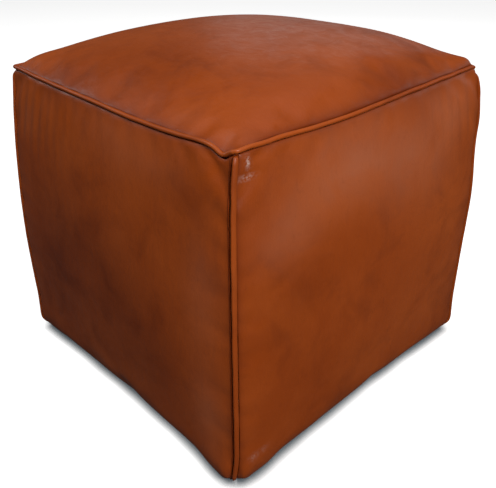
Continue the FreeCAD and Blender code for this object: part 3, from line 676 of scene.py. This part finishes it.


# The hide is not even.  It has painted highlights beside the near corner, on its short folds and
# at the foot, where its roughness is also lowered; a painted sheen high on the right wall; and
# darker patches low on the front wall and along the top's edges.
painted_glint_spots = (
    (0.95, (0.206, -0.1865, 0.3835), (0.02, 0.0022, 0.0050)),
    (0.55, (0.210, -0.189, 0.3690), (0.02, 0.0075, 0.0020)),
    (0.28, (0.216, -0.163, 0.2290), (0.02, 0.0200, 0.0016)),
    (0.90, (0.212, -0.198, 0.0420), (0.02, 0.0050, 0.0030)),
    (0.40, (0.212, -0.182, 0.0450), (0.02, 0.0065, 0.0015)),
)
painted_sheen_spots = (
    (0.34, (0.222, -0.060, 0.345), (0.03, 0.085, 0.040)),
    (0.30, (0.222, 0.070, 0.325), (0.03, 0.075, 0.055)),
    (0.24, (0.222, 0.140, 0.360), (0.03, 0.040, 0.030)),
    (0.22, (0.222, -0.150, 0.300), (0.03, 0.040, 0.030)),
    (0.20, (0.060, -0.222, 0.365), (0.065, 0.03, 0.028)),
    (0.22, (0.178, -0.222, 0.090), (0.022, 0.03, 0.060)),
    (0.18, (0.172, -0.222, 0.240), (0.022, 0.03, 0.060)),
    (0.14, (-0.170, -0.222, 0.345), (0.030, 0.03, 0.030)),
    (0.20, (-0.080, 0.090, 0.430), (0.070, 0.080, 0.03)),
)
darker_patches = (
    (0.55, (-0.120, -0.222, 0.150), (0.070, 0.03, 0.075)),
    (0.50, (0.020, -0.222, 0.165), (0.075, 0.03, 0.070)),
    (0.34, (0.085, -0.222, 0.125), (0.045, 0.03, 0.055)),
    (0.34, (-0.040, -0.222, 0.230), (0.080, 0.03, 0.040)),
    (0.50, (-0.077, -0.205, 0.415), (0.085, 0.040, 0.03)),
    (0.34, (0.010, -0.130, 0.420), (0.080, 0.050, 0.03)),
    (0.40, (0.195, 0.070, 0.412), (0.035, 0.100, 0.03)),
    (0.22, (0.222, -0.130, 0.230), (0.03, 0.060, 0.050)),
    (0.35, (0.222, 0.205, 0.060), (0.03, 0.040, 0.045)),
)


def patch_of(spot, patches):
    """How strongly a spot lies in any of the patches."""
    return min(1.0, sum(strength * near(spot, middle, reach)
                        for strength, middle, reach in patches))


def leather_panel(name, node, number, turn, setback, keep=0):
    panel = cut_panel(number, keep)
    turn_in(panel, setback)
    seam = panel.verts.layers.float["seam_distance"]
    mark = panel.verts.layers.float.new("seam")
    glint_layer = panel.verts.layers.float.new("scuff_and_glint")
    sheen_paint = panel.verts.layers.float.new("painted_sheen")
    darkened = panel.verts.layers.float.new("darkening")
    for vert in panel.verts:
        vert[mark] = math.exp(-(vert[seam] / 0.0035))
        # painted highlights at the glints
        vert[glint_layer] = patch_of(vert.co, painted_glint_spots)
        # painted sheen
        vert[sheen_paint] = patch_of(vert.co, painted_sheen_spots)
        # darker patches
        vert[darkened] = patch_of(vert.co, darker_patches)
    piece = finish_piece(name, panel, leather_material(name + "_hide", turn))
    soften(piece)
    thicken(piece, leather_thickness)
    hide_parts(node)


def even_setback(spot):
    """How far an edge stands back from the sewing line before it turns in."""
    return edge_setback


def front_setback(spot):
    """The front wall's edge is rolled further back from the near corner seam."""
    return 0.0050 if spot.x > 0.185 and spot.z < 0.388 else edge_setback


def right_setback(spot):
    """So is the right wall's, lower down."""
    if spot.y > -0.185 or spot.z > 0.388:
        return edge_setback
    return edge_setback + 0.0016 / (1 + math.exp((spot.z - 0.24) / 0.02))


leather_panel("top_leather", "top_panel", 0, 0.0, even_setback)
leather_panel("right_wall_leather", "side_panel_right", 1, 1.0, right_setback)
leather_panel("back_wall_leather", "side_panel_back", 2, 2.0, even_setback)
leather_panel("left_wall_leather", "side_panel_left", 3, 3.0, even_setback)
leather_panel("front_wall_leather", "side_panel_front", 4, 4.0, front_setback)
leather_panel("base_back_leather", "base_panel_back", 5, 5.0, even_setback, 1)
leather_panel("base_front_leather", "base_panel_front", 5, 6.0, even_setback, -1)

# ------------------------------------------------------------------ welts and their cords
# Each seam that shows has a folded strip of the same hide sewn into it, round a cotton cord
# that was laid in the fold before it was stitched.
def seam_line(kind, choose, key):
    """The sewn line along one edge of the form, in order, with the way it faces out."""
    found = [vert for vert in form.verts if vert[seam_kind] == kind and choose(vert.co)]
    found.sort(key=lambda vert: key(vert.co))
    return [(vert.co.copy(), vert.normal.copy()) for vert in found]


def sweep(line, outline, around):
    """A tube along a line; outline gives a point of the section for a row, a way round."""
    count = len(line)
    tube = bmesh.new()
    bmesh.ops.create_grid(tube, x_segments=count - 1, y_segments=around, size=1.0)
    for vert in tube.verts:
        row = round((vert.co.x + 1) / 2 * (count - 1))
        turn = math.pi * (vert.co.y + 1)
        spot, out = line[row]
        run = (line[min(row + 1, count - 1)][0] - line[max(row - 1, 0)][0]).normalized()
        out = (out - run * out.dot(run)).normalized()
        aside = run.cross(out)
        stand, sideways = outline(spot, turn, row / (count - 1))
        vert.co = spot + out * stand + aside * sideways
    bmesh.ops.remove_doubles(tube, verts=tube.verts[:], dist=0.00001)
    bmesh.ops.holes_fill(tube, edges=[edge for edge in tube.edges if edge.is_boundary])
    bmesh.ops.recalc_face_normals(tube, faces=tube.faces[:])
    return tube


def welt_strip(name, node, line, stand, bead, turn, squash=1.0, lean=0.0, tucked=0.0):
    """A folded strip; a tucked one dips under the leather at both ends, where seams meet."""
    tail = 0.0075
    foot_sink = 0.0032

    def outline(spot, angle, share):
        swell = 1.0 + 0.09 * noise.noise(spot * 55.0 + Vector((turn, 0, 0)))
        if tucked:
            swell *= 0.7 + 0.3 * min(1.0, share / 0.03, (1 - share) / 0.035)
        drift = 0.0004 * noise.noise(spot * 30.0 + Vector((0, turn, 0)))
        size = bead * swell
        reach = math.cos(angle)
        width = math.sin(angle) * squash * size
        height = reach * size
        if reach < -0.2:
            deep = (-0.2 - reach) / 0.8
            height = -0.2 * size - deep * tail
            width *= 1.0 - 0.5 * min(1.0, deep * 3.0)
        sunk = 0.0
        if tucked:
            sunk = (foot_sink * max(0.0, 1 - share / 0.040)
                    + tucked * max(0.0, 1 - (1 - share) / 0.04))
        return stand - sunk + height, width + drift + lean * (reach + 0.2) * size

    strip = sweep(line, outline, 28)
    mark = strip.verts.layers.float.new("seam")
    for vert in strip.verts:
        vert[mark] = 0.0
    piece = finish_piece(name, strip, leather_material(name + "_hide", turn, 0.2))
    soften(piece)
    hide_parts(node)


cotton, nodes, links = new_material("cotton_cord")
shader = nodes["Principled BSDF"]
where = nodes.new("ShaderNodeTexCoord")
strands = nodes.new("ShaderNodeTexWave")
strands.inputs["Scale"].default_value = 160.0
strands.inputs["Distortion"].default_value = 2.0
links.new(where.outputs["Object"], strands.inputs["Vector"])
links.new(blend_of(nodes, links, strands.outputs["Fac"], (0.46, 0.40, 0.31, 1.0),
                   (0.72, 0.66, 0.55, 1.0)), shader.inputs["Base Color"])
shader.inputs["Roughness"].default_value = 0.9


cord_radius = 0.00125


def welt_cord(name, node, line, stand):
    def outline(spot, angle, share):
        return stand + cord_radius * math.cos(angle), cord_radius * math.sin(angle)

    piece = finish_piece(name, sweep(line[1:-1], outline, 12), cotton)
    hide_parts(node)


top_stand = 0.0018
slim_bead = 0.0023
for quarter, side in enumerate(("right", "back", "left", "front")):
    facing = Matrix.Rotation(-quarter * math.pi / 2, 3, "Z")

    def on_side(spot):
        seen = facing @ spot
        return seen.x > 0.17 and abs(seen.y) <= seen.x + 0.006

    line = seam_line(TOP_SEAM, on_side, lambda spot: (facing @ spot).y)
    welt_strip("top_welt_" + side + "_strip", "top_welt_" + side, line, top_stand, slim_bead,
               10.0 + quarter)
    welt_cord("top_welt_" + side + "_core", "top_welt_cord_" + side, line, top_stand)

# The near corner's strip is fuller, leans to one side and is tucked less at its top end.
corner_names = (("back_right", 45), ("back_left", 135), ("front_left", 225), ("front_right", -45))
for number, (corner, bearing) in enumerate(corner_names):
    facing = Matrix.Rotation(-math.radians(bearing), 3, "Z")

    def on_corner(spot):
        seen = facing @ spot
        return abs(seen.y) < 0.03 and seen.x > 0.24 and spot.z > 0.0022

    line = seam_line(CORNER_SEAM, on_corner, lambda spot: spot.z)
    bead, squash, lean, tucked = slim_bead, 1.0, 0.0, 0.0032
    if corner == "front_right":
        bead, squash, lean, tucked = 0.0027, 0.95, -0.45, 0.0014
    welt_strip("corner_welt_" + corner + "_strip", "corner_welt_" + corner, line, 0.0016, bead,
               20.0 + number, squash, lean, tucked)
    welt_cord("corner_welt_" + corner + "_core", "corner_welt_cord_" + corner, line[7:-5], 0.0014)

# ------------------------------------------------------------------ bag and filling
# Under the leather a calico bag holds the filling, teased cotton waste packed hard.
zip_room = 0.0055


def shrunk_form(depth, seam_depth):
    """The form drawn in by a depth, and further at its seams, with room kept over the zip."""
    inner = form.copy()
    inner.normal_update()
    seam = inner.verts.layers.float["seam_distance"]
    moves = {}
    for vert in inner.verts:
        gap = vert[seam]
        moves[vert.index] = vert.normal * (depth + seam_depth * math.exp(-gap / 0.012))
    for vert in inner.verts:
        vert.co -= moves[vert.index]
        if vert.co.z < 0.030 and abs(vert.co.y) < 0.030:
            vert.co.z = max(vert.co.z, zip_room + depth)
    for _ in range(2):
        bmesh.ops.smooth_vert(inner, verts=inner.verts[:], factor=0.5, use_axis_x=True,
                              use_axis_y=True, use_axis_z=True)
    return inner


calico, nodes, links = new_material("calico")
shader = nodes["Principled BSDF"]
where = nodes.new("ShaderNodeTexCoord")
weave = nodes.new("ShaderNodeTexBrick")
weave.inputs["Scale"].default_value = 260.0
weave.inputs["Color1"].default_value = (0.70, 0.62, 0.48, 1.0)
weave.inputs["Color2"].default_value = (0.62, 0.54, 0.41, 1.0)
weave.inputs["Mortar"].default_value = (0.45, 0.38, 0.28, 1.0)
links.new(where.outputs["Object"], weave.inputs["Vector"])
links.new(weave.outputs["Color"], shader.inputs["Base Color"])
shader.inputs["Roughness"].default_value = 0.95
bag = finish_piece("calico_bag", shrunk_form(0.0036, 0.013), calico)
thicken(bag, 0.0008)
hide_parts("inner_bag")

waste, nodes, links = new_material("cotton_waste")
shader = nodes["Principled BSDF"]
where = nodes.new("ShaderNodeTexCoord")
tufts = noise_at(nodes, links, where.outputs["Object"], 60.0, 6.0, 0.7, 2.0)
links.new(blend_of(nodes, links, tufts, (0.50, 0.47, 0.42, 1.0), (0.80, 0.77, 0.70, 1.0)),
          shader.inputs["Base Color"])
shader.inputs["Roughness"].default_value = 1.0
filling = finish_piece("cotton_filling", shrunk_form(0.0056, 0.013), waste)
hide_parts("stuffing")

# ------------------------------------------------------------------ the zip
# The base closes with a coil zip: woven tapes, nylon teeth, brass stops, slider and pull, and
# rows of waxed thread.  These keep their modelled shapes and take their finishes here.
def paint(names, material):
    for name in names:
        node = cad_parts[name]
        node.data.materials.clear()
        node.data.materials.append(material)


tape, nodes, links = new_material("zip_tape_weave")
shader = nodes["Principled BSDF"]
where = nodes.new("ShaderNodeTexCoord")
ribs = nodes.new("ShaderNodeTexWave")
ribs.inputs["Scale"].default_value = 320.0
links.new(where.outputs["Object"], ribs.inputs["Vector"])
links.new(blend_of(nodes, links, ribs.outputs["Fac"], (0.040, 0.018, 0.010, 1.0),
                   (0.075, 0.036, 0.020, 1.0)), shader.inputs["Base Color"])
shader.inputs["Roughness"].default_value = 0.85
rib_bump = nodes.new("ShaderNodeBump")
rib_bump.inputs["Strength"].default_value = 0.4
rib_bump.inputs["Distance"].default_value = 0.0002
links.new(ribs.outputs["Fac"], rib_bump.inputs["Height"])
links.new(rib_bump.outputs["Normal"], shader.inputs["Normal"])
paint(("zip_tape_back", "zip_tape_front"), tape)

nylon, nodes, links = new_material("zip_nylon")
shader = nodes["Principled BSDF"]
where = nodes.new("ShaderNodeTexCoord")
scuff_and_glint = noise_at(nodes, links, where.outputs["Object"], 300.0, 3.0)
shader.inputs["Base Color"].default_value = (0.055, 0.024, 0.012, 1.0)
links.new(ramp_of(nodes, links, scuff_and_glint, 0.3, 0.7, 0.28, 0.5), shader.inputs["Roughness"])
paint(("zip_teeth_back", "zip_teeth_front"), nylon)

brass, nodes, links = new_material("antique_brass")
shader = nodes["Principled BSDF"]
where = nodes.new("ShaderNodeTexCoord")
tarnish = noise_at(nodes, links, where.outputs["Object"], 220.0, 5.0, 0.6)
links.new(blend_of(nodes, links, ramp_of(nodes, links, tarnish, 0.35, 0.65),
                   (0.42, 0.27, 0.10, 1.0), (0.16, 0.10, 0.045, 1.0)), shader.inputs["Base Color"])
links.new(ramp_of(nodes, links, tarnish, 0.3, 0.7, 0.25, 0.48), shader.inputs["Roughness"])
shader.inputs["Metallic"].default_value = 1.0
paint(("zip_top_stop_back", "zip_top_stop_front", "zip_bottom_stop", "zip_slider", "zip_pull"),
      brass)

thread, nodes, links = new_material("waxed_thread")
shader = nodes["Principled BSDF"]
where = nodes.new("ShaderNodeTexCoord")
twist = nodes.new("ShaderNodeTexWave")
twist.wave_profile = "SIN"
twist.bands_direction = "DIAGONAL"
twist.inputs["Scale"].default_value = 500.0
links.new(where.outputs["Object"], twist.inputs["Vector"])
links.new(blend_of(nodes, links, twist.outputs["Fac"], (0.16, 0.065, 0.022, 1.0),
                   (0.27, 0.12, 0.045, 1.0)), shader.inputs["Base Color"])
shader.inputs["Roughness"].default_value = 0.6
paint(("zip_stitching_back", "zip_stitching_front"), thread)
